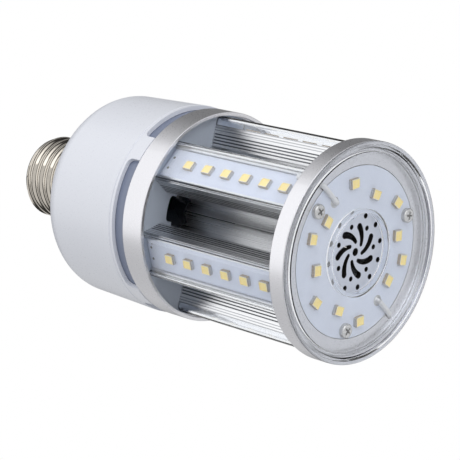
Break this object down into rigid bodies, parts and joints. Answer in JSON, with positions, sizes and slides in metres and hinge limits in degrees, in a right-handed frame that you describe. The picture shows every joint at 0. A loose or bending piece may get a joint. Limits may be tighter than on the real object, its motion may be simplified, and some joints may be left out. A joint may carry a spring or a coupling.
{
  "type": "corn led bulb",
  "caption": "Corn LED bulb with light strips between two silver rings, a light board with a swirl grille on its front, a white driver housing, a small fan and a screw base.",
  "frame": {"origin": "middle of the front rim, which the lamp stands on", "axes": "+Z along the lamp's axis, from the front board to the screw base; +X through the middle of strip 1"},
  "size_m": [0.0635, 0.0634, 0.1375],
  "materials": {
    "silver": "satin silver anodised",
    "clear": "clear polycarbonate",
    "light_board": "pale solder mask on an aluminium core",
    "led": "yellow phosphor in a pale package",
    "extrusion": "bright extruded",
    "steel": "plated",
    "lead": "white insulation",
    "plate": "pale grey plastic",
    "housing": "satin white plastic",
    "nickel": "nickel-plated shell",
    "insulator": "black insulator",
    "contact": "tinned contact",
    "fan": "black plastic",
    "bronze": "sintered bronze",
    "driver_board": "green circuit board",
    "component": "black sleeve or tape",
    "copper": "enamelled wire"
  },
  "bodies": {
    "lamp": {"base_insulator": "insulator", "board_screws": "steel", "centre_contact": "contact", "driver_board": "driver_board", "driver_capacitors": "component", "driver_choke": "copper", "driver_housing": "housing", "driver_screws": "steel", "driver_transformer": "component", "fan_bearing": "bronze", "fan_frame": "fan", "fan_screws": "steel", "fan_stator": "steel", "front_board": "light_board", "front_cap": "silver", "front_cover": "clear", "front_leds": "led", "heatsink_1": "extrusion", "heatsink_2": "extrusion", "heatsink_3": "extrusion", "heatsink_4": "extrusion", "heatsink_5": "extrusion", "heatsink_6": "extrusion", "rear_plate": "plate", "rear_ring": "silver", "return_lead": "lead", "screw_shell": "nickel", "strip_board_1": "light_board", "strip_board_2": "light_board", "strip_board_3": "light_board", "strip_board_4": "light_board", "strip_board_5": "light_board", "strip_board_6": "light_board", "strip_cover_1": "clear", "strip_cover_2": "clear", "strip_cover_3": "clear", "strip_cover_4": "clear", "strip_cover_5": "clear", "strip_cover_6": "clear", "strip_leds_1": "led", "strip_leds_2": "led", "strip_leds_3": "led", "strip_leds_4": "led", "strip_leds_5": "led", "strip_leds_6": "led", "strip_screws": "steel", "supply_lead": "lead", "vent_collar": "housing"},
    "rotor": {"fan_rotor": "fan", "fan_shaft": "steel"}
  },
  "joints": [
    {"name": "fan_spin", "type": "hinge", "parent": "lamp", "child": "rotor", "pos_m": [0, 0, 0.065], "axis": [0, 0, 1], "continuous": true}
  ]
}
